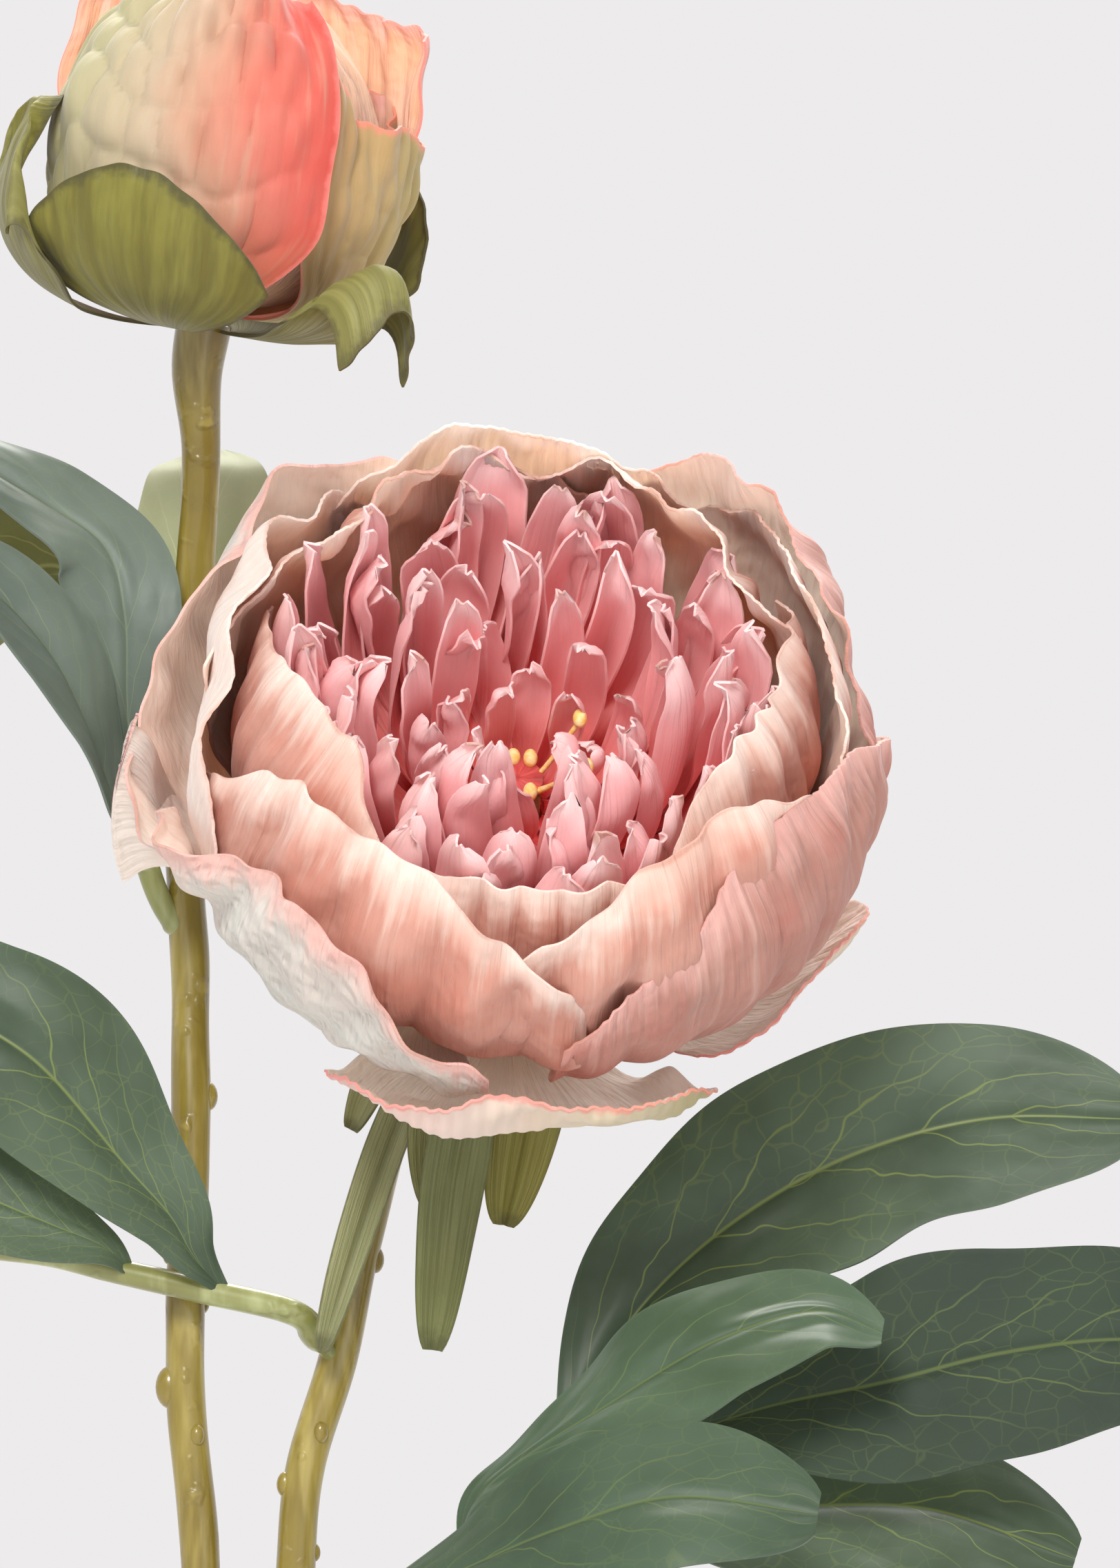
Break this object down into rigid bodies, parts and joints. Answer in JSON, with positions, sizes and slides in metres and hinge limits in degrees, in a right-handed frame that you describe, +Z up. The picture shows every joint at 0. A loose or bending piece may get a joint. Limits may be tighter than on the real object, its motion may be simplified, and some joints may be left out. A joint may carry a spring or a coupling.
{
  "type": "artificial peony spray in a bud vase",
  "caption": "Artificial peony spray with an open full bloom, a closed bud and compound leaves, standing in a plain ceramic bud vase.",
  "frame": {"origin": "centre of the vase's foot, on the surface that the vase stands on", "axes": "+Z up along the vase's axis; the open bloom faces -Y; the bud stands on the -X side and the largest leaf on the +X side"},
  "size_m": [0.256, 0.1323, 0.4793],
  "materials": {
    "vase_ceramic": "smooth off-white satin ceramic",
    "stem_plastic": "glossy olive-ochre moulded plastic",
    "petiole_plastic": "satin pale green plastic sleeve",
    "leaf_fabric": "satin blue-green printed fabric with yellow-green veins",
    "sepal_fabric": "matt olive-green fabric with dark edges",
    "petal_fabric": "pleated cream and peach fabric with pink edges",
    "petaloid_fabric": "soft pink fabric, paler at the curled tips",
    "stamen_plastic": "matt yellow beads on thin filaments",
    "bud_fabric": "crinkled cream fabric blushed coral",
    "bud_foam": "pink bud filling"
  },
  "bodies": {
    "root": {"vase": "vase_ceramic", "main_stem": "stem_plastic", "bud_stem": "stem_plastic", "bloom_stem": "stem_plastic", "upper_leaf_petiole": "petiole_plastic", "lower_leaf_petiole": "petiole_plastic", "right_leaf_petiole": "petiole_plastic", "upper_leaf_front": "leaf_fabric", "upper_leaf_under": "leaf_fabric", "upper_leaf_side": "leaf_fabric", "upper_leaf_back": "leaf_fabric", "lower_leaf_top": "leaf_fabric", "lower_leaf_middle": "leaf_fabric", "lower_leaf_end": "leaf_fabric", "right_leaf_top": "leaf_fabric", "right_leaf_middle": "leaf_fabric", "right_leaf_low": "leaf_fabric", "right_leaf_arch": "leaf_fabric", "right_leaf_front": "leaf_fabric", "bloom_receptacle": "stem_plastic", "stamens": "stamen_plastic", "petaloid_whorl_1": "petaloid_fabric", "petaloid_whorl_2": "petaloid_fabric", "petaloid_whorl_3": "petaloid_fabric", "petaloid_whorl_4": "petaloid_fabric", "petaloid_whorl_5": "petaloid_fabric", "inner_petal_1": "petal_fabric", "inner_petal_2": "petal_fabric", "inner_petal_3": "petal_fabric", "inner_petal_4": "petal_fabric", "inner_petal_5": "petal_fabric", "cup_petal_1": "petal_fabric", "cup_petal_2": "petal_fabric", "cup_petal_3": "petal_fabric", "cup_petal_4": "petal_fabric", "cup_petal_5": "petal_fabric", "outer_petal_1": "petal_fabric", "outer_petal_2": "petal_fabric", "outer_petal_3": "petal_fabric", "outer_petal_4": "petal_fabric", "guard_petal_1": "petal_fabric", "guard_petal_2": "petal_fabric", "guard_petal_3": "petal_fabric", "guard_petal_4": "petal_fabric", "bloom_sepal_round": "sepal_fabric", "bloom_sepal_long": "sepal_fabric", "bloom_sepal_broad": "sepal_fabric", "bloom_sepal_dark": "sepal_fabric", "bloom_sepal_olive": "sepal_fabric", "bud_calyx": "stem_plastic", "bud_heart": "bud_foam", "bud_petal_front": "bud_fabric", "bud_petal_right": "bud_fabric", "bud_petal_back": "bud_fabric", "bud_sepal_front": "sepal_fabric", "bud_sepal_left": "sepal_fabric", "bud_sepal_right": "sepal_fabric", "bud_sepal_back": "sepal_fabric"}
  },
  "joints": []
}
